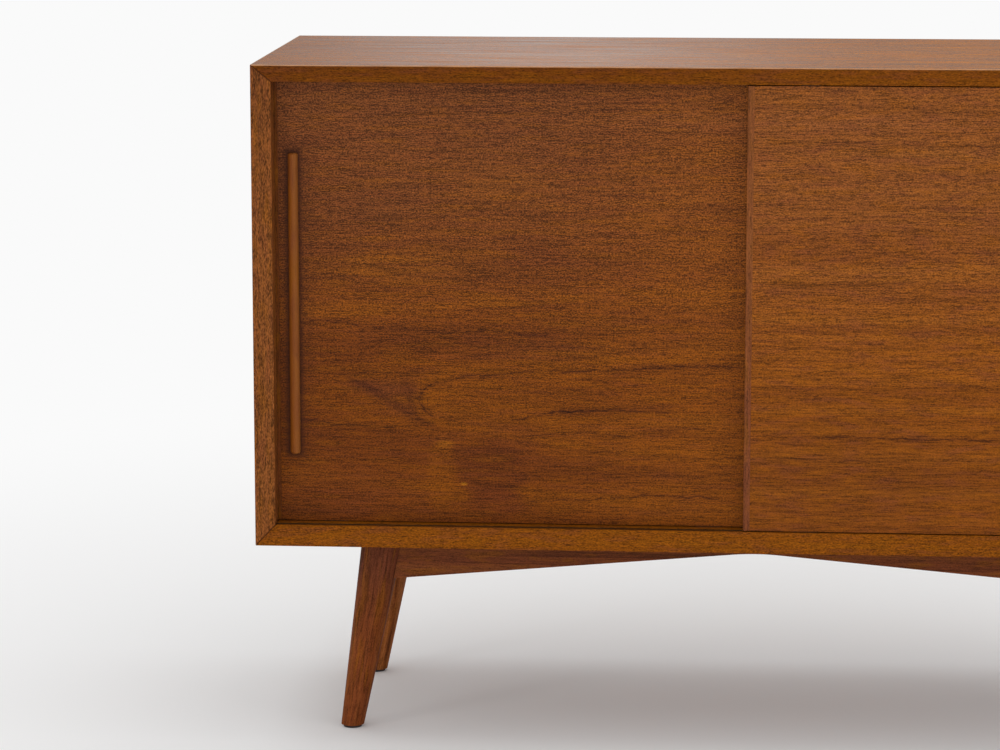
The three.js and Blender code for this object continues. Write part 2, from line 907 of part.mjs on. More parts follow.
const braceBlock = solidOf(upward(braceShape(), braceHeight, 1).translate(0, 0, baseTop - braceHeight));
const brace = geometryOf(cutFrom(braceBlock, braceScrewSides.map((y) => solidOf(braceScrewHole(y)))));
for (const [corner, sideX, sideY] of legCorners) {
  const mesh = addMesh(cabinet, `corner_brace_${corner}`, brace.clone(), "hardwood");
  mesh.applyMatrix4(cornerFrame(sideX, sideY));
}

export default cabinet;
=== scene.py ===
import math
import bmesh
import bpy
from mathutils import Matrix, Vector


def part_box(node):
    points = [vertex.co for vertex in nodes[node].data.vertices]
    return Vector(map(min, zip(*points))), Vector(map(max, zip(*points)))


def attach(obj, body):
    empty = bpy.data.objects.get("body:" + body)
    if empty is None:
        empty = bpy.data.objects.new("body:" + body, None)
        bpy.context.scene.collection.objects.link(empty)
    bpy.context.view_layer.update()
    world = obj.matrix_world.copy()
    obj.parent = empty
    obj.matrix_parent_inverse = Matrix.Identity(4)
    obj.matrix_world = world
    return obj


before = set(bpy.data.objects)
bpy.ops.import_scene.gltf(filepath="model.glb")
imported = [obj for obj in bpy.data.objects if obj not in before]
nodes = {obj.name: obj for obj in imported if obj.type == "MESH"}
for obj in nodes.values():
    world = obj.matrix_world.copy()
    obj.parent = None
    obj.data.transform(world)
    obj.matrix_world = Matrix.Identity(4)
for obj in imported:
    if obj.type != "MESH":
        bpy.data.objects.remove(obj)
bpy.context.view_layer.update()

# camera: a long lens a little above the top, near the middle and turned towards the left door
cameraLook = {
    "place": (0.0009, -4.4326, 1.1965),
    "lookDown": 9.838,      # degrees below level
    "turnLeft": 4.232,      # degrees towards the left side
    "lens": 127.65,
    "sensor": 36,
}


def intoScene(name, data):
    made = bpy.data.objects.new(name, data)
    bpy.context.scene.collection.objects.link(made)
    return made


camera = intoScene("camera", bpy.data.cameras.new("camera"))
camera.location = cameraLook["place"]
camera.rotation_euler = (math.radians(90 - cameraLook["lookDown"]), 0, math.radians(cameraLook["turnLeft"]))
camera.data.lens = cameraLook["lens"]
camera.data.sensor_width = cameraLook["sensor"]
bpy.context.scene.camera = camera
bpy.context.scene.view_settings.view_transform = "Standard"


def tone(red, green, blue):
    # a colour as a paint chart gives it, 0 to 255, in the renderer's linear light
    def linear(part):
        share = part / 255
        return share / 12.92 if share <= 0.04045 else ((share + 0.055) / 1.055) ** 2.4

    return (linear(red), linear(green), linear(blue), 1)


class Wire:
    # one output socket of a shader tree: sums on wires add their Math nodes
    def __init__(self, tree, socket=None):
        self.tree = tree
        self.socket = socket

    def node(self, kind, settings=None, inputs=None, output=0):
        made = self.tree.nodes.new(kind)
        for word, value in (settings or {}).items():
            if word == "stops":
                while len(made.color_ramp.elements) < len(value):
                    made.color_ramp.elements.new(0.5)
                for stop, (position, colour) in zip(made.color_ramp.elements, value):
                    stop.position = position
                    stop.color = colour
            elif word == "points":
                bends = made.mapping.curves[0].points
                while len(bends) < len(value):
                    bends.new(0.5, 0.5)
                for bend, place in zip(bends, value):
                    bend.location = place
                made.mapping.update()
            else:
                setattr(made, word, value)
        for word, value in (inputs or {}).items():
            if isinstance(value, Wire):
                self.tree.links.new(value.socket, made.inputs[word])
            else:
                made.inputs[word].default_value = value
        return Wire(self.tree, made.outputs[output] if len(made.outputs) else None)

    def maths(self, operation, first, second=0.0):
        return self.node("ShaderNodeMath", {"operation": operation}, {0: first, 1: second})

    def __add__(self, other):
        return self.maths("ADD", self, other)

    def __sub__(self, other):
        return self.maths("SUBTRACT", self, other)

    def __rsub__(self, other):
        return self.maths("SUBTRACT", other, self)

    def __mul__(self, other):
        return self.maths("MULTIPLY", self, other)

    __radd__ = __add__
    __rmul__ = __mul__

    def root(self):
        return self.maths("SQRT", self)

    def size(self):
        return self.maths("ABSOLUTE", self)

    def rise(self, low, high):
        # 0 below low, 1 above high, eased between; low may be the larger one
        return self.node(
            "ShaderNodeMapRange",
            {"interpolation_type": "SMOOTHSTEP"},
            {0: self, 1: low, 2: high, 3: 0.0, 4: 1.0},
        )

    def dot(self, direction):
        product = {"operation": "DOT_PRODUCT"}
        return self.node("ShaderNodeVectorMath", product, {0: self, 1: direction}, "Value")

    def tinted(self, amount):
        # a colour times a brightness
        return self.node("ShaderNodeVectorMath", {"operation": "SCALE"}, {0: self, "Scale": amount})

    def times(self, factors):
        # a colour times a factor for each of its parts
        return self.node("ShaderNodeVectorMath", {"operation": "MULTIPLY"}, {0: self, 1: factors})

    def under(self, colour, amount):
        # another colour laid over this one by an amount
        return self.node("ShaderNodeMix", {"data_type": "RGBA"}, {0: amount, 6: self, 7: colour}, 2)


def newMaterial(name):
    material = bpy.data.materials.new(name)
    material.use_nodes = True
    material.node_tree.nodes.clear()
    return material, Wire(material.node_tree)


def principled(start, inputs):
    return start.node("ShaderNodeBsdfPrincipled", {}, inputs)


def show(start, shader):
    start.node("ShaderNodeOutputMaterial", {}, {"Surface": shader})


def grainSpace(start, look):
    # metres along the grain, across it and in depth, with the fibres' slow wander
    place = start.node("ShaderNodeTexCoord", output="Object")
    grain = Vector(look["grain"]).normalized()
    across = Vector(look["across"])
    across = (across - grain * across.dot(grain)).normalized()
    straight = (place.dot(grain), place.dot(across), place.dot(grain.cross(across)))
    along, side, depth = straight
    wander = speckle(straight, look["seed"], look["wanderRate"], 2)
    return along, side + (wander - 0.5) * look["wander"], depth


seedShift = (1.0, 0.37, 1.91)   # how far one seed moves the noise along the grain, across it and in depth


def speckle(wood, seed, rates, detail=1, roughness=0.5):
    # noise drawn out along the grain: rates are cycles a metre along and across
    point = wood[0].node(
        "ShaderNodeCombineXYZ",
        {},
        {axis: wood[axis] * rates[min(axis, 1)] + seed * shift for axis, shift in enumerate(seedShift)},
    )
    return wood[0].node(
        "ShaderNodeTexNoise",
        {"noise_dimensions": "3D"},
        {"Vector": point, "Scale": 1.0, "Detail": detail, "Roughness": roughness},
    )


easing = {
    "weld": 1e-5,
    "flat": 0.3,            # degrees between faces that count as one
    "bevelAbove": 35,       # degrees between faces whose edge is eased
    "smoothBelow": 32,      # and between those shaded as one
    "segments": 2,
}


def roundedShading():
    # shades a solid smoothly where its faces meet at less than a set angle
    group = bpy.data.node_groups.new("roundedShading", "GeometryNodeTree")
    group.interface.new_socket("Geometry", in_out="INPUT", socket_type="NodeSocketGeometry")
    group.interface.new_socket("Geometry", in_out="OUTPUT", socket_type="NodeSocketGeometry")
    entry = group.nodes.new("NodeGroupInput")
    leave = group.nodes.new("NodeGroupOutput")
    faces = group.nodes.new("GeometryNodeSetShadeSmooth")
    edges = group.nodes.new("GeometryNodeSetShadeSmooth")
    edges.domain = "EDGE"
    angle = group.nodes.new("GeometryNodeInputMeshEdgeAngle")
    gentle = group.nodes.new("FunctionNodeCompare")
    gentle.operation = "LESS_THAN"
    gentle.inputs[1].default_value = math.radians(easing["smoothBelow"])
    group.links.new(angle.outputs[0], gentle.inputs[0])
    group.links.new(entry.outputs[0], faces.inputs["Geometry"])
    group.links.new(faces.outputs[0], edges.inputs["Geometry"])
    group.links.new(gentle.outputs[0], edges.inputs["Shade Smooth"])
    group.links.new(edges.outputs[0], leave.inputs[0])
    return group


def easeEdges(piece, width):
    # takes the sawn sharpness off a solid's edges, as sandpaper does
    weld = piece.modifiers.new("weld", "WELD")
    weld.merge_threshold = easing["weld"]
    flat = piece.modifiers.new("flat", "DECIMATE")
    flat.decimate_type = "DISSOLVE"
    flat.angle_limit = math.radians(easing["flat"])
    if width:
        bevel = piece.modifiers.new("ease", "BEVEL")
        bevel.width = width
        bevel.segments = easing["segments"]
        bevel.limit_method = "ANGLE"
        bevel.angle_limit = math.radians(easing["bevelAbove"])
    rounded = piece.modifiers.new("rounded", "NODES")
    rounded.node_group = smoothGroup
    weighted = piece.modifiers.new("weighted", "WEIGHTED_NORMAL")
    weighted.keep_sharp = True


smoothGroup = roundedShading()
easedWidths = {
    "_panel": 0.0009,
    "shelf": 0.0008,
    "divider": 0.0008,
    "leg_": 0.0012,
    "_rail": 0.0012,
    "corner_brace": 0.0008,
    "_handle": 0.0,
    "_track": 0.0003,
    "foot_pad": 0.0006,
    "_pin_": 0.0002,
    "_lipping": 0.0,
    "_screw_": 0.0,
}
for name, node in nodes.items():
    widths = [width for ending, width in easedWidths.items() if ending in name]
    if widths and "door_panel" not in name and "back" not in name:
        easeEdges(node, widths[0])
print("edges eased")


plainMark = {"depth": 0.7, "core": 0.2, "lean": 0.0, "broken": True}


def patch(wood, mark):
    # a soft oval on the face: centre, half length and half height, lean
    out = wood[0] - mark["at"][0]
    up = wood[1] - mark["at"][1] - out * mark["lean"]
    far = (out * out * (1 / mark["half"][0] ** 2) + up * up * (1 / mark["half"][1] ** 2)).root()
    return far.rise(1.0, mark["core"])


def paintedHandleShade(wood, seat):
    # painted shade round a bar that stands on the face, standing in for its contact shadow: deep at its foot,
    # faint further off
    away = [(place - middle).size() - half for place, middle, half in zip(wood, seat["at"], seat["half"])]
    off = away[0].maths("MAXIMUM", *away)
    near = off.rise(seat["reach"], seat["foot"]) * seat["depth"]
    return near + off.rise(seat["farReach"], 0.0) * seat["farDepth"]


plainLine = {"upright": False, "width": 0.0016, "depth": 0.6}
lineInk = {
    "core": 0.7,                  # share of the darkness within the line's width
    "haze": 0.3,                  # and within the wider stain round it
    "hazeWidth": 4,
    "waverSeed": 3.3,
    "waverRate": (70.0, 90.0),
}


def figureLines(wood, figure):
    # growth lines of the veneer, each drawn through a few points on the face: how dark it is there
    spans = [high - low for low, high in zip(figure["low"], figure["high"])]
    shares = [(place - low) * (1 / span) for place, low, span in zip(wood, figure["low"], spans)]
    waver = (speckle(wood, lineInk["waverSeed"], lineInk["waverRate"], 2) - 0.5) * figure["waver"]
    darkest = None
    for changes in figure["lines"]:
        line = {**plainLine, "taper": figure["taper"], **changes}
        # a line runs along the face, or up it where it turns back
        run, rest = (1, 0) if line["upright"] else (0, 1)
        points = sorted(
            [(point[i] - figure["low"][i]) / spans[i] for i in (run, rest)] for point in line["points"]
        )
        course = wood[run].node("ShaderNodeFloatCurve", {"points": points}, {"Value": shares[run]})
        away = ((shares[rest] - course) * spans[rest] + waver).size()
        reach = [point[run] for point in line["points"]]
        first, last, taper, width = min(reach), max(reach), line["taper"], line["width"]
        ends = wood[run].rise(first, first + taper) * wood[run].rise(last, last - taper)
        haze = away.rise(width * lineInk["hazeWidth"], 0.0) * lineInk["haze"]
        drawn = (away.rise(width, 0.0) * lineInk["core"] + haze) * ends * line["depth"]
        darkest = drawn if darkest is None else drawn.maths("MAXIMUM", darkest, drawn)
    return darkest


plainTeak = {
    "grain": (1, 0, 0),
    "across": (0, 0, 1),
    "seed": 0.0,
    "wander": 0.010,
    "wanderRate": (1.6, 4.0),
    "pith": (0.0, 0.16),           # the tree's heart, from the piece's origin: across and in depth
    "drift": 0.0,                  # how fast the cut nears the heart along the grain
    "driftFrom": 0.0,
    "bandRate": 42.0,
    "veinRate": 62.0,
    "dark": (106, 54, 8),
    "middle": (121, 64, 6),
    "light": (134, 74, 6),
    "vein": (54, 24, 12),
    "pore": (62, 22, 4),
    "russet": (112, 58, 34),
    "amber": (134, 78, 6),
    "hueDepth": 0.35,
    "hueRate": (26.0, 100.0),
    "veinDepth": 0.55,
    "poreDepth": 0.15,
    "fleckRate": (480.0, 840.0),   # flecks, dashes and streaks a metre along the grain and across it
    "dashRate": (130.0, 740.0),
    "streakRate": (30.0, 620.0),
    "calm": None,                  # (from, to, least): the flecks are weaker towards the low side
    "figure": None,
    "fleckDepth": 3.1,
    "dashDepth": 1.5,
    "streakDepth": 1.5,
    "cloudDepth": 0.3,
    "roughness": 0.42,
    "specular": 0.06,
    "fade": None,                  # (from, to, colour): paler towards one side across the grain, as painted sheen: the greyish, lighter upper part of a door, the lit side of a handle
    "highlitArrisBox": None,                  # the box along whose top edges a highlight is painted, for the light that the eased arris catches
    # the colour of that painted highlight
    "arrisHighlightTone": (212, 162, 122),
    "cap": None,                   # the upper face, painted far lighter than the lipping and smoother: a lighter leaf together with painted sheen of light from above; its height and finish
    "mitre": None,                 # (half width, bottom, top) of the mitred case
    "marks": (),
    "seat": None,                  # the handle that stands on the face, with painted shade round it for its contact shadow
}
# the noises that wood is built from, each on its own seed; a span turns noise into a mask
woodNoise = {
    "bands": {"seed": 3.1, "detail": 3, "span": (0.25, 0.75)},
    "rings": {"seed": 11.7, "detail": 1, "middle": 0.56, "sharpness": 14},
    "ringPatches": {"seed": 5.3, "detail": 2, "rate": (5.0, 22.0), "span": (0.44, 0.62)},
    "clouds": {"seed": 7.9, "detail": 2, "rate": (2.2, 9.0), "span": (0.3, 0.7)},
    "streaks": {"seed": 1.3, "detail": 2},
    "dashes": {"seed": 2.2, "detail": 1},
    "flecks": {"seed": 4.6, "detail": 1},
    "hues": {"seed": 9.4, "detail": 2, "russet": (0.5, 0.7), "amber": (0.5, 0.3)},
    "lineBreaks": {"seed": 6.8, "detail": 2, "rate": (60.0, 520.0), "span": (0.36, 0.56), "least": 0.25},
    "capStreaks": {"seed": 8.8, "detail": 3, "roughness": 0.6},
}
woodFinish = {
    "ringRoughness": 0.55,
    "fadeDepth": 0.7,
    "whole": 0.5,                  # the least share of a mark that the clouds leave
    "dashPores": 0.6,              # the pores' share of the dashes, and of the streaks
    "streakPores": 0.4,
    "poreSpan": (0.52, 0.68),
    "darkest": 0.4,                # the grain never takes a colour below this share
    "glue": {"span": (0.0017, 0.0004), "least": 0.32, "more": 0.3, "streakSpan": (0.3, 0.6)},
    "arris": {"span": (0.0018, 0.0009), "least": 0.48, "more": 0.3, "streakSpan": (0.3, 0.6)},
    "capSpan": (0.0012, 0.0006),   # from this far below the upper face to this far
    "relief": 0.1,
    "reliefDepth": 0.0004,
    "poreRoughness": 0.18,
}


def noiseOf(wood, look, kind, rate=None):
    plan = woodNoise[kind]
    seed = look["seed"] + plan["seed"]
    noise = speckle(wood, seed, rate or plan["rate"], plan["detail"], plan.get("roughness", 0.5))
    return noise.rise(*plan["span"]) if "span" in plan else noise


def ringNoise(radius, look, kind, rate):
    # noise that changes only from one growth ring to the next
    return radius.node(
        "ShaderNodeTexNoise",
        {"noise_dimensions": "1D"},
        {
            "W": radius * rate + (look["seed"] + woodNoise[kind]["seed"]),
            "Scale": 1.0,
            "Detail": woodNoise[kind]["detail"],
            "Roughness": woodFinish["ringRoughness"],
        },
    )


def growthRings(wood, look):
    # broad bands and fine veins, by how far each point lies from the tree's heart
    along, side, depth = wood
    acrossHeart = side - look["pith"][0]
    deepHeart = depth - look["pith"][1] + (along - look["driftFrom"]) * look["drift"]
    radius = (acrossHeart * acrossHeart + deepHeart * deepHeart).root()
    bands = ringNoise(radius, look, "bands", look["bandRate"]).rise(*woodNoise["bands"]["span"])
    rings = woodNoise["rings"]
    offLine = (ringNoise(radius, look, "rings", look["veinRate"]) - rings["middle"]).size()
    veins = (1 - offLine * rings["sharpness"]).rise(0.0, 1.0)
    return bands, veins * noiseOf(wood, look, "ringPatches")


def stainsAndPaintedLight(colour, wood, look, clouds):
    # the paler end of a face, which is painted sheen, its own marks, some of them painted shade or painted
    # light, and patches of redder and yellower wood
    if look["fade"]:
        low, high, paler = look["fade"]
        colour = colour.under(tone(*paler), wood[1].rise(low, high) * woodFinish["fadeDepth"])
    for changes in look["marks"]:
        mark = {**plainMark, **changes}
        shape = patch(wood, mark) * mark["depth"]
        if mark["broken"]:
            shape = shape * (clouds * (1 - woodFinish["whole"]) + woodFinish["whole"])
        colour = colour.under(tone(*mark["tone"]), shape)
    hues = noiseOf(wood, look, "hues", look["hueRate"])
    for hue in ("russet", "amber"):
        colour = colour.under(tone(*look[hue]), hues.rise(*woodNoise["hues"][hue]) * look["hueDepth"])
    return colour


def veined(colour, wood, look, veins):
    # the veins of the growth rings, and the lines drawn on this face
    colour = colour.under(tone(*look["vein"]), veins * look["veinDepth"])
    if look["figure"]:
        least = woodNoise["lineBreaks"]["least"]
        broken = noiseOf(wood, look, "lineBreaks") * (1 - least) + least
        colour = colour.under(tone(*look["vein"]), figureLines(wood, look["figure"]) * broken)
    return colour


def grainLight(wood, look, streaks, dashes):
    # how the fine grain lightens and darkens the wood, around 1
    flecks = noiseOf(wood, look, "flecks", look["fleckRate"]) - 0.5
    speckles = flecks * look["fleckDepth"] + (dashes - 0.5) * look["dashDepth"]
    if look["calm"]:
        low, high, least = look["calm"]
        speckles = speckles * (wood[1].rise(low, high) * (1 - least) + least)
    return speckles + (streaks - 0.5) * look["streakDepth"] + 1


def placeOn(start):
    # where a point of the piece lies, along x, y and z
    place = start.node("ShaderNodeTexCoord", output="Object")
    return [start.node("ShaderNodeSeparateXYZ", {}, {0: place}, axis) for axis in range(3)]


def uneven(streaks, edge):
    return streaks.rise(*edge["streakSpan"]) * edge["more"] + edge["least"]


def mitreSeam(start, mitre, streaks):
    # the glue line of the mitres, where the way in from the side is the way in from top or bottom
    half, low, high = mitre
    x, _, z = placeOn(start)
    fromEnd = start.maths("MINIMUM", z - low, high - z)
    glue = woodFinish["glue"]
    return (half - x.size() - fromEnd).size().rise(*glue["span"]) * uneven(streaks, glue)


def paintedArrisHighlight(start, box, streaks):
    # painted highlight along the arris at the top of the piece, standing in for the light it catches: pale
    # where both distances from it are small
    low, high = box
    x, y, z = placeOn(start)
    inward = start.maths("MINIMUM", x - low.x, high.x - x)
    inward = start.maths("MINIMUM", inward, start.maths("MINIMUM", y - low.y, high.y - y))
    arris = woodFinish["arris"]
    return start.maths("MAXIMUM", inward, high.z - z).rise(*arris["span"]) * uneven(streaks, arris)


def teak(name, changes):
    look = {**plainTeak, **changes}
    material, start = newMaterial(name)
    wood = grainSpace(start, look)
    bands, veins = growthRings(wood, look)
    clouds = noiseOf(wood, look, "clouds")
    streaks = noiseOf(wood, look, "streaks", look["streakRate"])
    dashes = noiseOf(wood, look, "dashes", look["dashRate"])
    pores = dashes * woodFinish["dashPores"] + streaks * woodFinish["streakPores"]
    pores = pores.rise(*woodFinish["poreSpan"])

    stops = [(share, tone(*look[part])) for share, part in ((0.0, "dark"), (0.5, "middle"), (1.0, "light"))]
    colour = start.node("ShaderNodeValToRGB", {"stops": stops}, {0: bands})
    colour = colour.under(tone(*look["dark"]), clouds * look["cloudDepth"])
    colour = stainsAndPaintedLight(colour, wood, look, clouds)
    colour = veined(colour, wood, look, veins)
    light = grainLight(wood, look, streaks, dashes)
    cap = look["cap"]
    if cap:
        # the upper face, and the long streaks of its leaf
        upper = placeOn(start)[2].rise(*(cap["height"] - below for below in woodFinish["capSpan"]))
        long = noiseOf(wood, look, "capStreaks", cap["longRate"]) - 0.5
        light = light + long * upper * cap["longDepth"]
    colour = colour.tinted(start.maths("MAXIMUM", light, woodFinish["darkest"]))
    colour = colour.under(tone(*look["pore"]), pores * look["poreDepth"])
    if look["mitre"]:
        colour = colour.under(tone(*look["vein"]), mitreSeam(start, look["mitre"], streaks))
    if cap:
        # the upper face is painted far lighter than the lipping along the front: a lighter leaf, together
        # with painted sheen of the light from above
        colour = colour.under(colour.times(cap["lighter"]), upper)
    # painted highlight along the top's arrises
    if look["highlitArrisBox"]:
        colour = colour.under(tone(*look["arrisHighlightTone"]), paintedArrisHighlight(start, look["highlitArrisBox"], streaks))
    # painted shade round the handle, in the vein colour, for the handle's contact shadow
    if look["seat"]:
        colour = colour.under(tone(*look["vein"]), paintedHandleShade(wood, look["seat"]))

    relief = start.node(
        "ShaderNodeBump",
        {},
        {
            "Strength": woodFinish["relief"],
            "Distance": woodFinish["reliefDepth"],
            "Height": dashes * 0.5 + streaks * 0.5,
        },
    )
    skin = {
        "Base Color": colour,
        "Roughness": pores * woodFinish["poreRoughness"] + look["roughness"],
        "Normal": relief,
        "Specular IOR Level": look["specular"],
    }
    shown = principled(start, skin)
    if cap:
        polished = long * cap["sheenDepth"] + cap["roughness"]
        leaf = principled(start, {**skin, "Roughness": polished, "Specular IOR Level": cap["specular"]})
        shown = start.node("ShaderNodeMixShader", {}, {0: upper, 1: shown, 2: leaf})
    show(start, shown)
    return material


def dress(name, material):
    nodes[name].material_slots[0].material = material


def named(beginning):
    return sorted(name for name in nodes if name.startswith(beginning))


# the first seed of each kind of piece, and the step from one piece to the next
seeds = {
    "lipping": (90.0, 7),
    "handle": (130.0, 9),
    "leg": (150.0, 13),
    "rail": (210.0, 11),
    "brace": (250.0, 5),
    "spline": (290.0, 5),
}


def seedOf(kind, index):
    first, step = seeds[kind]
    return first + index * step


# the case: four veneered boards, mitred at the corners
sideLook = {
    "grain": (0, 0, 1),
    "across": (0, 1, 0),
    "dark": (112, 60, 28),
    "middle": (124, 70, 32),
    "light": (138, 82, 38),
    "fleckRate": (300.0, 760.0),
    "dashRate": (90.0, 520.0),
    "streakRate": (26.0, 420.0),
    "fleckDepth": 2.6,
    "dashDepth": 1.9,
    "streakDepth": 1.5,
}
caseLooks = {
    "top_panel": {
        "seed": 12.0,
        "pith": (-0.1, 0.55),
        "grain": (1, 0, 0),
        "across": (0, 1, 0),
        "dark": (107, 56, 10),
        "middle": (114, 60, 10),
        "light": (120, 65, 11),
        "cloudDepth": 0.1,
        "veinDepth": 0.3,
        "cap": {
            "height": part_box("top_panel")[1].z,
            "longRate": (8.0, 120.0),   # long streaks that show most in a low light
            "longDepth": 1.8,
            # how much lighter the upper face is painted: a lighter leaf and painted sheen
            "lighter": (2.35, 2.6, 2.3),
            "roughness": 0.24,
            "sheenDepth": 0.6,
            "specular": 0.32,
        },
        # the top's arrises get a painted highlight
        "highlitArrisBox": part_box("top_panel"),
        "fleckRate": (400.0, 840.0),
        "streakRate": (30.0, 420.0),
        "fleckDepth": 2.0,
        "dashDepth": 1.6,
        "streakDepth": 1.0,
        "marks": (
            {"at": (-0.61, 0.0), "half": (0.5, 0.6), "tone": (104, 54, 12), "depth": 0.5, "broken": False},
            {"at": (0.30, 0.0), "half": (0.6, 0.6), "tone": (132, 73, 14), "depth": 0.7, "broken": False},
        ),
    },
    "bottom_panel": {
        "seed": 29.0,
        "pith": (0.3, 0.4),
        "grain": (1, 0, 0),
        "across": (0, 1, 0),
        "dark": (124, 66, 8),
        "middle": (132, 72, 8),
        "light": (139, 78, 9),
        "veinDepth": 0.3,
        "fleckRate": (400.0, 840.0),
        "fleckDepth": 2.2,
        "dashDepth": 1.6,
        "streakDepth": 0.9,
    },
    "left_side_panel": {**sideLook, "seed": 41.0, "pith": (-0.15, 0.7)},
    "right_side_panel": {**sideLook, "seed": 55.0, "pith": (-0.12, 0.7)},
}
caseMitre = (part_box("top_panel")[1].x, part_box("bottom_panel")[0].z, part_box("top_panel")[1].z)
for name, changes in caseLooks.items():
    dress(name, teak(name + "_teak", {**changes, "mitre": caseMitre}))

insideLooks = {
    "centre_divider": {"seed": 61.0, "pith": (0.1, 0.3), "grain": (0, 0, 1), "across": (0, 1, 0)},
    "left_shelf": {"seed": 67.0, "pith": (0.2, 0.8), "grain": (1, 0, 0), "across": (0, 1, 0)},
    "right_shelf": {"seed": 71.0, "pith": (0.1, 0.8), "grain": (1, 0, 0), "across": (0, 1, 0)},
}
for name, changes in insideLooks.items():
    dress(name, teak(name + "_teak", {"roughness": 0.5, **changes}))

backLook = {
    "seed": 83.0,
    "pith": (0.5, 0.6),
    "dark": (118, 78, 44),
    "middle": (139, 95, 56),
    "light": (152, 108, 66),
    "fleckRate": (150.0, 900.0),
    "fleckDepth": 1.8,
    "dashDepth": 1.2,
    "roughness": 0.62,
    "specular": 0.2,
}
dress("back_panel", teak("back_veneer", backLook))
print("case finished")

# the doors: one flat cut veneer each, with the arched figure low on the left one
def handleSeat(name):
    # the handle's box, and how far and how deep the painted shade reaches round it
    low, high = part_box(name)
    return {
        "at": ((low.x + high.x) / 2, (low.z + high.z) / 2),
        "half": ((high.x - low.x) / 2, (high.z - low.z) / 2),
        "foot": -0.001,
        "reach": 0.0085,
        "depth": 0.55,
        "farReach": 0.028,
        "farDepth": 0.27,
    }


leftDoorFigure = {
    "low": (-0.60, 0.27),
    "high": (0.02, 0.82),
    "taper": 0.03,
    "waver": 0.008,
    "lines": (
        {"points": ((-0.575, 0.520), (-0.512, 0.520), (-0.469, 0.514), (-0.426, 0.512), (-0.376, 0.508),
                    (-0.325, 0.511), (-0.290, 0.508), (-0.220, 0.507)), "depth": 0.75},
        {"points": ((-0.440, 0.491), (-0.404, 0.491), (-0.376, 0.495), (-0.329, 0.496), (-0.232, 0.496)),
         "depth": 0.4, "width": 0.003},
        {"points": ((-0.400, 0.443), (-0.361, 0.454), (-0.304, 0.459), (-0.254, 0.462), (-0.214, 0.463),
                    (-0.161, 0.466), (-0.100, 0.470), (0.010, 0.471)), "depth": 0.8, "width": 0.002},
        {"points": ((-0.376, 0.451), (-0.397, 0.445), (-0.407, 0.436), (-0.411, 0.427), (-0.409, 0.418),
                    (-0.402, 0.408), (-0.386, 0.401)),
         "upright": True, "depth": 0.8, "width": 0.003, "taper": 0.006},
        {"points": ((-0.440, 0.459), (-0.428, 0.445), (-0.424, 0.430), (-0.421, 0.415), (-0.409, 0.400)),
         "upright": True, "depth": 0.45, "width": 0.006, "taper": 0.012},
        {"points": ((-0.535, 0.462), (-0.500, 0.455), (-0.470, 0.458), (-0.430, 0.459), (-0.370, 0.459)),
         "depth": 0.5, "width": 0.003},
        {"points": ((-0.520, 0.460), (-0.484, 0.445), (-0.459, 0.430), (-0.433, 0.412), (-0.408, 0.399),
                    (-0.380, 0.384)), "depth": 0.55, "width": 0.007},
        {"points": ((-0.402, 0.407), (-0.383, 0.403), (-0.330, 0.401)), "depth": 0.5, "width": 0.0024},
        {"points": ((-0.310, 0.398), (-0.264, 0.409), (-0.236, 0.414), (-0.200, 0.415), (-0.146, 0.415),
                    (-0.085, 0.411)), "depth": 0.9, "width": 0.0022},
        {"points": ((-0.575, 0.398), (-0.542, 0.398), (-0.509, 0.393), (-0.459, 0.392), (-0.410, 0.385)),
         "depth": 0.7},
        {"points": ((-0.300, 0.380), (-0.268, 0.384), (-0.236, 0.388), (-0.200, 0.387), (-0.164, 0.385),
                    (-0.090, 0.388)), "depth": 0.55},
        {"points": ((-0.265, 0.364), (-0.200, 0.366), (-0.135, 0.360), (-0.074, 0.358), (0.010, 0.359)),
         "depth": 0.6},
        {"points": ((-0.310, 0.290), (-0.282, 0.299), (-0.253, 0.302), (-0.199, 0.305), (-0.128, 0.310),
                    (-0.030, 0.307)), "depth": 0.65},
        {"points": ((-0.250, 0.336), (-0.196, 0.337), (-0.124, 0.335), (-0.020, 0.337)), "depth": 0.4},
        {"points": ((-0.540, 0.350), (-0.488, 0.344), (-0.459, 0.339), (-0.415, 0.327)), "depth": 0.4},
        {"points": ((-0.575, 0.482), (-0.505, 0.480), (-0.451, 0.481), (-0.397, 0.484), (-0.310, 0.481)),
         "depth": 0.4},
        {"points": ((-0.290, 0.493), (-0.218, 0.493), (-0.147, 0.492), (-0.060, 0.495)), "depth": 0.45},
    ),
}
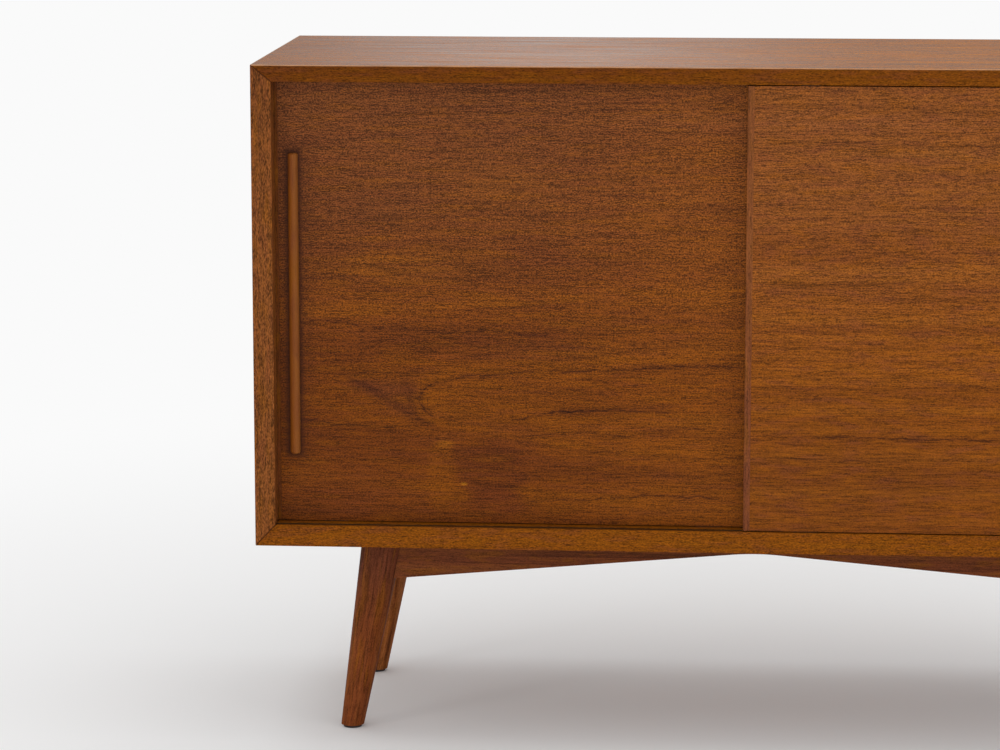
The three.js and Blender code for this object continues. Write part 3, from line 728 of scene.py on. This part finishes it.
leftDoorLook = {
    "seed": 5.0,
    "seat": handleSeat("left_door_handle"),
    "dark": (102, 50, 11),
    "middle": (113, 57, 10),
    "light": (122, 64, 9),
    # the upper part paler and greyer: painted sheen, and painted light against the shade under the top
    "fade": (0.42, 0.80, (113, 65, 34)),
    "calm": (0.33, 0.62, 0.6),
    "fleckDepth": 4.0,
    "dashDepth": 2.4,
    "streakDepth": 1.8,
    "pith": (0.43, 0.05),
    "drift": -0.06,
    "driftFrom": -0.4055,
    "veinDepth": 0.2,
    "cloudDepth": 0.2,
    "russet": (108, 54, 26),
    "amber": (128, 71, 6),
    "hueDepth": 0.28,
    "hueRate": (16.0, 130.0),
    "figure": leftDoorFigure,
    "marks": (
        {"at": (-0.322, 0.338), "half": (0.048, 0.046), "tone": (93, 44, 13), "depth": 0.7, "core": 0.7,
         "broken": False},
        {"at": (-0.288, 0.372), "half": (0.056, 0.026), "tone": (99, 47, 20), "depth": 0.5},
        {"at": (-0.318, 0.300), "half": (0.046, 0.026), "tone": (98, 45, 17), "depth": 0.55, "core": 0.5},
        {"at": (-0.386, 0.335), "half": (0.022, 0.062), "tone": (126, 67, 8), "depth": 0.5, "core": 0.5,
         "broken": False},
        {"at": (-0.452, 0.425), "half": (0.078, 0.014), "tone": (84, 40, 22), "depth": 0.5, "lean": -0.62},
        {"at": (-0.470, 0.441), "half": (0.062, 0.013), "tone": (90, 44, 24), "depth": 0.5, "broken": False},
        {"at": (-0.436, 0.437), "half": (0.036, 0.018), "tone": (90, 44, 22), "depth": 0.4, "broken": False},
        {"at": (-0.424, 0.431), "half": (0.020, 0.032), "tone": (90, 44, 18), "depth": 0.5, "broken": False},
        {"at": (-0.381, 0.371), "half": (0.016, 0.007), "tone": (142, 82, 6), "depth": 0.7, "broken": False},
        {"at": (-0.280, 0.487), "half": (0.140, 0.022), "tone": (96, 48, 22), "depth": 0.75},
        {"at": (-0.290, 0.437), "half": (0.130, 0.024), "tone": (111, 57, 12), "depth": 0.6, "core": 0.5},
        {"at": (-0.090, 0.402), "half": (0.120, 0.014), "tone": (136, 78, 10), "depth": 0.45},
        {"at": (-0.110, 0.305), "half": (0.160, 0.040), "tone": (128, 69, 12), "depth": 0.4},
        {"at": (-0.500, 0.315), "half": (0.120, 0.055), "tone": (100, 48, 16), "depth": 0.65},
        {"at": (-0.308, 0.690), "half": (0.110, 0.032), "tone": (132, 76, 22), "depth": 0.5},
        {"at": (-0.469, 0.669), "half": (0.110, 0.045), "tone": (104, 58, 30), "depth": 0.45},
        {"at": (-0.265, 0.608), "half": (0.060, 0.018), "tone": (94, 46, 24), "depth": 0.5},
        {"at": (-0.218, 0.723), "half": (0.150, 0.012), "tone": (96, 50, 28), "depth": 0.5},
        {"at": (-0.090, 0.673), "half": (0.100, 0.030), "tone": (128, 72, 28), "depth": 0.5},
        # painted light: lighter towards the door's right edge, against the shade cast by the front door
        {"at": (0.000, 0.560), "half": (0.300, 1.500), "tone": (140, 76, 16), "depth": 0.4, "core": 0.0,
         "broken": False},
        {"at": (-0.060, 0.553), "half": (0.120, 0.022), "tone": (132, 72, 16), "depth": 0.45},
        {"at": (-0.080, 0.767), "half": (0.160, 0.020), "tone": (130, 76, 40), "depth": 0.45},
        {"at": (-0.330, 0.474), "half": (0.110, 0.014), "tone": (98, 48, 16), "depth": 0.45},
        {"at": (-0.270, 0.392), "half": (0.090, 0.016), "tone": (100, 49, 14), "depth": 0.45},
        {"at": (-0.200, 0.522), "half": (0.120, 0.014), "tone": (128, 70, 16), "depth": 0.5},
        {"at": (-0.190, 0.360), "half": (0.100, 0.018), "tone": (126, 68, 14), "depth": 0.4},
        {"at": (-0.190, 0.379), "half": (0.120, 0.012), "tone": (100, 50, 14), "depth": 0.5},
        {"at": (-0.080, 0.501), "half": (0.130, 0.014), "tone": (100, 50, 18), "depth": 0.5},
        {"at": (-0.600, 0.670), "half": (0.200, 0.120), "tone": (96, 50, 24), "depth": 0.35, "broken": False},
        {"at": (-0.430, 0.587), "half": (0.140, 0.030), "tone": (130, 74, 16), "depth": 0.5},
        {"at": (-0.3579, 0.3225), "half": (0.006, 0.0028), "tone": (156, 97, 18), "depth": 0.8,
         "broken": False},
    ),
}
rightDoorFigure = {
    "low": (-0.02, 0.27),
    "high": (0.60, 0.82),
    "taper": 0.04,
    "waver": 0.006,
    "lines": (
        {"points": ((0.030, 0.395), (0.090, 0.392), (0.300, 0.389), (0.590, 0.396)), "depth": 0.8},
        {"points": ((-0.015, 0.452), (0.100, 0.450), (0.350, 0.456), (0.590, 0.452)), "depth": 0.35},
        {"points": ((-0.010, 0.577), (0.070, 0.576), (0.200, 0.580)), "depth": 0.55},
        {"points": ((-0.010, 0.745), (0.100, 0.747), (0.300, 0.744), (0.590, 0.748)), "depth": 0.6},
        {"points": ((0.040, 0.784), (0.200, 0.785), (0.420, 0.782)), "depth": 0.45},
        {"points": ((0.000, 0.366), (0.060, 0.365), (0.160, 0.362)), "depth": 0.55},
        {"points": ((0.160, 0.560), (0.300, 0.556), (0.590, 0.560)), "depth": 0.5},
        {"points": ((0.200, 0.660), (0.360, 0.655), (0.560, 0.662)), "depth": 0.45},
    ),
}
rightDoorLook = {
    "seed": 17.0,
    "seat": handleSeat("right_door_handle"),
    "pith": (1.1, 0.05),
    # the upper part paler: painted sheen
    "fade": (0.40, 0.72, (130, 75, 34)),
    "calm": (0.33, 0.62, 0.6),
    "fleckDepth": 2.6,
    "dashDepth": 2.0,
    "streakDepth": 1.8,
    "amber": (136, 75, 6),
    "veinDepth": 0.2,
    "figure": rightDoorFigure,
    "dark": (122, 64, 14),
    "middle": (134, 72, 14),
    "light": (144, 81, 18),
    "marks": (
        {"at": (0.060, 0.425), "half": (0.240, 0.028), "tone": (122, 66, 14), "depth": 0.4, "core": 0.5},
        {"at": (0.060, 0.617), "half": (0.300, 0.032), "tone": (110, 55, 16), "depth": 0.65},
        {"at": (0.080, 0.300), "half": (0.420, 0.140), "tone": (114, 60, 16), "depth": 0.75},
        {"at": (0.300, 0.735), "half": (0.300, 0.012), "tone": (144, 86, 32), "depth": 0.5},
        {"at": (0.100, 0.772), "half": (0.250, 0.018), "tone": (144, 84, 42), "depth": 0.5},
    ),
}
dress("left_door_panel", teak("left_door_veneer", leftDoorLook))
dress("right_door_panel", teak("right_door_veneer", rightDoorLook))

stripLook = {
    "grain": (0, 0, 1),
    "across": (1, 0, 0),
    "wander": 0.002,
    "pith": (0.2, 0.4),
    "cloudDepth": 0.2,
    "fleckDepth": 1.2,
    "dashDepth": 1.0,
    "streakDepth": 1.4,
}
paleStrip = {
    "dark": (122, 68, 32),
    "middle": (134, 78, 38),
    "light": (146, 90, 46),
    "marks": (
        {"at": (0.30, 0.0), "half": (0.32, 2.0), "tone": (110, 58, 36), "depth": 0.7, "broken": False},
    ),
}
# painted shade: the left door's lippings darker than the right's, for the shadow they stand in
shadedStrip = {"dark": (88, 44, 14), "middle": (98, 50, 15), "light": (108, 58, 18)}
for index, name in enumerate(sorted(name for name in nodes if name.endswith("_lipping"))):
    shade = paleStrip if name.startswith("right") else shadedStrip
    dress(name, teak(name + "_teak", {**stripLook, "seed": seedOf("lipping", index), **shade}))
handleLook = {
    **stripLook,
    "dark": (120, 63, 20),
    "middle": (130, 71, 23),
    "light": (140, 79, 27),
    "poreDepth": 0.15,
    "fleckDepth": 0.3,
    "dashDepth": 0.3,
    "streakDepth": 0.5,
    "veinDepth": 0.1,
    "roughness": 0.34,
}
# painted sheen: the side of each bar that faces the light painted paler
handleSheen = {"from": -0.002, "to": 0.003, "tone": (138, 83, 39)}   # across the bar, from its middle
for index, name in enumerate(("left_door_handle", "right_door_handle")):
    middle = handleSeat(name)["at"][0]
    fade = (middle + handleSheen["from"], middle + handleSheen["to"], handleSheen["tone"])
    dress(name, teak(name + "_teak", {**handleLook, "seed": seedOf("handle", index), "fade": fade}))
print("doors finished")

# the base: turned legs, arched rails and corner braces
legLook = {
    "dark": (102, 50, 24),
    "middle": (114, 59, 28),
    "light": (126, 70, 34),
    "fleckDepth": 1.2,
    "dashDepth": 1.1,
    "streakDepth": 1.6,
    "dashRate": (80.0, 560.0),
    "streakRate": (18.0, 420.0),
    "pith": (0.02, 0.05),
    "bandRate": 110.0,
    "wander": 0.010,
    "wanderRate": (9.0, 12.0),
    "hueRate": (16.0, 150.0),
    "cloudDepth": 0.25,
    "roughness": 0.55,
    "specular": 0.03,
    # painted shade: the upper part of each leg darker, for the shade under the case
    "marks": ({"at": (0.16, 0.0), "half": (0.12, 2.0), "tone": (88, 50, 38), "depth": 0.6, "broken": False},),
}
# painted light: the rear legs lighter, and without the painted shade under the case, as they stand lit
litRearLegLook = {"dark": (124, 68, 35), "middle": (138, 80, 41), "light": (150, 91, 49), "marks": ()}
# how far the grain leans within a leg's height
legSplay = {"sideways": 0.041, "endways": 0.010, "height": 0.25}
for index, name in enumerate(named("leg_")):
    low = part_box(name)[0]
    toRight = 1 if low.x > 0 else -1
    toBack = 1 if low.y > 0 else -1
    lean = (-toRight * legSplay["sideways"], -toBack * legSplay["endways"], legSplay["height"])
    changes = {**legLook, "grain": lean, "across": (1, 0, 0), "seed": seedOf("leg", index)}
    # the rear legs take the lighter, painted-light tones
    if toBack > 0:
        changes.update(litRearLegLook)
    dress(name, teak(name + "_teak", changes))
railLook = {
    "dark": (98, 49, 25),
    "middle": (112, 60, 29),
    "light": (124, 70, 33),
    "wander": 0.004,
    "fleckDepth": 1.2,
    "dashDepth": 1.1,
    "streakDepth": 1.4,
}
railGrain = {
    "front_rail": (1, 0, 0),
    "rear_rail": (1, 0, 0),
    "left_side_rail": (0, 1, 0),
    "right_side_rail": (0, 1, 0),
}
for index, (name, grain) in enumerate(railGrain.items()):
    dress(name, teak(name + "_teak", {**railLook, "grain": grain, "seed": seedOf("rail", index)}))
braceLook = {
    "dark": (150, 112, 72),
    "middle": (172, 134, 90),
    "light": (186, 148, 102),
    "pore": (120, 84, 50),
    "veinDepth": 0.1,
    "roughness": 0.6,
}
for index, name in enumerate(named("corner_brace")):
    dress(name, teak(name + "_beech", {**braceLook, "seed": seedOf("brace", index)}))
for index, name in enumerate(named("corner_spline")):
    dress(name, teak(name + "_ply", {**braceLook, "seed": seedOf("spline", index)}))
print("base finished")


plainFitting = {
    "mottleDetail": 3.0,
    "skinDetail": 2.0,
    "mottleSpan": (0.3, 0.7),
    "relief": 0.15,
    "reliefDepth": 0.0003,
    "mottleRoughness": 0.2,
    "metal": 0.0,
    "specular": 0.3,
}
fittingLooks = {
    "track_plastic": {
        "dark": (56, 36, 20),
        "light": (70, 46, 26),
        "mottle": 60.0,             # cycles a metre of the mottle, and of the skin's texture
        "skin": 900.0,
        "roughness": 0.45,
        "specular": 0.06,
    },
    "nylon": {
        "dark": (46, 32, 24),
        "light": (58, 42, 32),
        "mottle": 90.0,
        "skin": 700.0,
        "roughness": 0.42,
    },
    "pad_plastic": {
        "dark": (38, 34, 31),
        "light": (54, 49, 45),
        "mottle": 120.0,
        "skin": 900.0,
        "roughness": 0.5,
    },
    "pin_steel": {
        "dark": (150, 148, 142),
        "light": (186, 184, 178),
        "mottle": 300.0,
        "skin": 1500.0,
        "roughness": 0.25,
        "metal": 1.0,
    },
    "screw_steel": {
        "dark": (186, 160, 108),
        "light": (214, 190, 138),
        "mottle": 400.0,
        "skin": 2200.0,
        "roughness": 0.32,
        "metal": 1.0,
    },
}


def moulded(name):
    # plastic, nylon or steel: a faint mottle and a fine skin
    look = {**plainFitting, **fittingLooks[name]}
    material, start = newMaterial(name)
    place = start.node("ShaderNodeTexCoord", output="Object")
    mottle, skin = [
        start.node(
            "ShaderNodeTexNoise", {}, {"Vector": place, "Scale": look[kind], "Detail": look[kind + "Detail"]}
        )
        for kind in ("mottle", "skin")
    ]
    colour = start.node(
        "ShaderNodeMix",
        {"data_type": "RGBA"},
        {0: mottle.rise(*look["mottleSpan"]), 6: tone(*look["dark"]), 7: tone(*look["light"])},
        2,
    )
    relief = start.node(
        "ShaderNodeBump", {}, {"Strength": look["relief"], "Distance": look["reliefDepth"], "Height": skin}
    )
    surface = {
        "Base Color": colour,
        "Roughness": mottle * look["mottleRoughness"] + look["roughness"],
        "Normal": relief,
        "Metallic": look["metal"],
        "Specular IOR Level": look["specular"],
    }
    show(start, principled(start, surface))
    return material


fittings = {name: moulded(name) for name in fittingLooks}
fittingWords = {
    "_track": "track_plastic",
    "_glide_": "nylon",
    "_guide_": "nylon",
    "foot_pad": "pad_plastic",
    "_shelf_pin_": "pin_steel",
    "_handle_screw_": "pin_steel",
}
for name in nodes:
    for word, fitting in fittingWords.items():
        if word in name:
            dress(name, fittings[fitting])
print("fittings finished")


def latheMesh(profile, sides):
    # a closed shape turned about Z from pairs of radius and height, lowest first
    shape = bmesh.new()
    rings = []
    for radius, height in profile:
        turns = [2 * math.pi * side / sides for side in range(sides)]
        rings.append([shape.verts.new((radius * math.cos(t), radius * math.sin(t), height)) for t in turns])
    for below, above in zip(rings, rings[1:]):
        for i in range(sides):
            j = (i + 1) % sides
            shape.faces.new((below[i], below[j], above[j], above[i]))
    shape.faces.new(reversed(rings[0]))
    shape.faces.new(rings[-1])
    mesh = bpy.data.meshes.new("turned")
    shape.to_mesh(mesh)
    shape.free()
    return mesh


screwForm = {
    "tip": 0.4,                 # radius of the tip, in shank radii
    "taper": 1.6,               # length of the point, in shank radii
    "neck": 1.1,                # radius under a round head, in shank radii
    "shoulder": 0.00005,
    "rim": 0.9,                 # where the head's rounding starts, in its own depth
    "sawReach": 2.4,            # in head radii
    "sides": 20,
}


def slottedScrew(look):
    # a turned screw with a driver slot sawn across its head, which faces up at zero
    head, shank, edge, under = look["head"], look["shank"], look["round"], -look["headDepth"]
    profile = [
        (shank * screwForm["tip"], -look["length"]),
        (shank, -look["length"] + shank * screwForm["taper"]),
        (shank, under),
        (head - edge if look["flatUnder"] else shank * screwForm["neck"], under + screwForm["shoulder"]),
        (head, under + edge if look["flatUnder"] else -edge),
        (head, -edge * screwForm["rim"]),
        (head - edge, 0.0),
    ]
    screw = intoScene("screwBlank", latheMesh(profile, screwForm["sides"]))
    sawn = bmesh.new()
    bmesh.ops.create_cube(sawn, size=1.0)
    cutSize = (head * screwForm["sawReach"], look["slotWidth"], look["slotDepth"] * 2)
    bmesh.ops.scale(sawn, vec=cutSize, verts=sawn.verts)
    sawMesh = bpy.data.meshes.new("saw")
    sawn.to_mesh(sawMesh)
    sawn.free()
    saw = intoScene("saw", sawMesh)
    slotCut = screw.modifiers.new("slot", "BOOLEAN")
    slotCut.operation = "DIFFERENCE"
    slotCut.object = saw
    slotCut.solver = "EXACT"
    cut = bpy.data.meshes.new_from_object(screw.evaluated_get(bpy.context.evaluated_depsgraph_get()))
    for part in (screw, saw):
        bpy.data.objects.remove(part)
    cut.materials.append(fittings["screw_steel"])
    return cut


backScrewLook = {
    "head": 0.0035,
    "headDepth": 0.002,
    "shank": 0.0015,
    "length": 0.018,
    "round": 0.00025,
    "flatUnder": False,
    "slotWidth": 0.0009,
    "slotDepth": 0.0009,
    "fromEdge": 0.0042,         # middle of the screw from the panel's edge
    "fromCorner": 0.0687,
    "across": 5,
    "up": 3,
    "sunk": 0.0001,
    "turn": 2.4,                # each slot stopped at its own angle
}
braceScrewLook = {
    "head": 0.0041,
    "headDepth": 0.0024,
    "shank": 0.0019,
    "length": 0.044,
    "round": 0.0005,
    "flatUnder": True,
    "slotWidth": 0.0011,
    "slotDepth": 0.0012,
    "fromCrossing": 0.0412,     # from where the rails' middles cross, along the diagonal to the case's middle
    "spread": 0.016,
    "seatAbove": 0.008,         # above the brace's underside
    "turn": 1.7,
}


def spaced(low, high, count):
    return [low + (high - low) * i / (count - 1) for i in range(count)]


def placeScrew(name, mesh, place, facing, angle):
    screw = intoScene(name, mesh)
    screw.matrix_world = Matrix.Translation(place) @ facing @ Matrix.Rotation(angle, 4, "Z")
    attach(screw, "case")


def backScrews(look):
    low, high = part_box("back_panel")
    edge, corner = look["fromEdge"], look["fromCorner"]
    columns = spaced(low.x + corner, high.x - corner, look["across"])
    heights = spaced(low.z + corner, high.z - corner, look["up"])
    places = [(x, z) for x in columns for z in (low.z + edge, high.z - edge)]
    places += [(x, z) for z in heights for x in (low.x + edge, high.x - edge)]
    places += [(0.0, z) for z in (heights[0], heights[-1])]
    mesh = slottedScrew(look)
    faceBack = Matrix.Rotation(math.radians(-90), 4, "X")
    for index, (x, z) in enumerate(places):
        at = (x, high.y - look["sunk"], z)
        placeScrew(f"back_screw_{index + 1:02d}", mesh, at, faceBack, index * look["turn"])


def braceScrews(look):
    mesh = slottedScrew(look)
    faceDown = Matrix.Rotation(math.radians(180), 4, "X")
    frontRail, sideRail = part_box("front_rail"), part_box("right_side_rail")
    crossing = ((sideRail[0].x + sideRail[1].x) / 2, abs(frontRail[0].y + frontRail[1].y) / 2)
    for number, name in enumerate(named("corner_brace")):
        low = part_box(name)[0]
        toRight = 1 if low.x > 0 else -1
        toBack = 1 if low.y > 0 else -1
        inward = Vector((-toRight, -toBack, 0)).normalized()
        along = Vector((-inward.y, inward.x, 0))
        height = low.z + look["seatAbove"] - look["headDepth"]
        corner = Vector((toRight * crossing[0], toBack * crossing[1], height))
        for place, side in (("1", -1), ("2", 1)):
            at = corner + inward * look["fromCrossing"] + along * side * look["spread"]
            screwName = f"{name.replace('corner_brace', 'brace_screw')}_{place}"
            placeScrew(screwName, mesh, at, faceDown, number * look["turn"] + side)


backScrews(backScrewLook)
braceScrews(braceScrewLook)
print("screws finished")

# floor: a pale sheet that fades into the backdrop
floorLook = {"reach": 60.0, "sides": 64, "tone": (245, 245, 245), "fadeFrom": 0.3, "fadeTo": 2.2}
studio = {
    "backdrop": 0.956,          # the tone that the backdrop shows, linear
    "ambient": 0.80,            # light from all round
    "frontShare": 0.2,          # how bright the dark end of the room looks in the gloss
    "frontSpan": (-0.05, -0.7), # and where it darkens, from the middle of the room forward
    "windowShare": 0.62,        # the window behind
    "besideShare": 0.25,        # and the walls beside it
    "windowAt": -0.062,
    "windowHalf": 0.10,
}
backdropTone = (studio["backdrop"],) * 3 + (1,)


def lookedAt(start):
    # rays that show the background itself, and the mirrored ones alone
    seen, glossy, passing = [
        start.node("ShaderNodeLightPath", output=kind)
        for kind in ("Is Camera Ray", "Is Glossy Ray", "Is Transmission Ray")
    ]
    return start.maths("MAXIMUM", start.maths("MAXIMUM", seen, glossy), passing), glossy


def floorMaterial():
    material, start = newMaterial("floor")
    place = start.node("ShaderNodeTexCoord", output="Object")
    far = start.node("ShaderNodeVectorMath", {"operation": "LENGTH"}, {0: place}, "Value")
    fade = far.rise(floorLook["fadeFrom"], floorLook["fadeTo"])
    paper = start.node("ShaderNodeBsdfDiffuse", {}, {"Color": tone(*floorLook["tone"])})
    white = start.node("ShaderNodeEmission", {}, {"Color": backdropTone, "Strength": 1.0})
    show(start, start.node("ShaderNodeMixShader", {}, {0: fade * lookedAt(start)[0], 1: paper, 2: white}))
    return material


floorMesh = bpy.data.meshes.new("floor")
sheet = bmesh.new()
bmesh.ops.create_circle(sheet, cap_ends=True, segments=floorLook["sides"], radius=floorLook["reach"])
sheet.to_mesh(floorMesh)
sheet.free()
floorMesh.materials.append(floorMaterial())
intoScene("floor", floorMesh)

world = bpy.data.worlds.new("studio")
bpy.context.scene.world = world
world.use_nodes = True
world.node_tree.nodes.clear()
sky = Wire(world.node_tree)
looked, glossy = lookedAt(sky)
heading = sky.node("ShaderNodeTexCoord", output="Generated")
darkEnd = heading.dot((0, 1, 0)).rise(*studio["frontSpan"]) * (1 - studio["frontShare"])
window = (heading.dot((1, 0, 0)) - studio["windowAt"]).size().rise(studio["windowHalf"], 0.0)
behind = 1 - studio["besideShare"] - window * (studio["windowShare"] - studio["besideShare"])
dimmed = darkEnd.maths("MAXIMUM", darkEnd, behind) * glossy
backdrop = sky.node("ShaderNodeBackground", {}, {"Color": backdropTone, "Strength": 1 - dimmed})
ambient = sky.node("ShaderNodeBackground", {}, {"Color": (1, 1, 1, 1), "Strength": studio["ambient"]})
shown = sky.node("ShaderNodeMixShader", {}, {0: looked, 1: ambient, 2: backdrop})
sky.node("ShaderNodeOutputWorld", {}, {"Surface": shown})

# soft lamps: one broad one overhead, one in front, and a tall strip at each side of it
lamps = {
    "overhead": {"at": (0.0, 0.2, 3.2), "aim": (0.0, 0.0, 0.4), "size": (3.2, 2.2), "power": 12.0},
    "front": {"at": (-0.5, -4.8, 1.0), "aim": (0.0, 0.0, 0.5), "size": (2.6, 1.6), "power": 32.0},
    "left_strip": {"at": (-2.9, -2.6, 1.5), "aim": (0.0, 0.0, 0.5), "size": (0.5, 1.8), "power": 8.0},
    "right_strip": {"at": (2.9, -2.6, 1.5), "aim": (0.0, 0.0, 0.5), "size": (0.5, 1.8), "power": 4.0},
}
for name, look in lamps.items():
    light = bpy.data.lights.new(name, "AREA")
    light.shape = "RECTANGLE"
    light.size, light.size_y = look["size"]
    light.energy = look["power"]
    lamp = intoScene(name, light)
    lamp.location = look["at"]
    lamp.rotation_euler = (Vector(look["aim"]) - Vector(look["at"])).to_track_quat("-Z", "Y").to_euler()
print("studio finished")
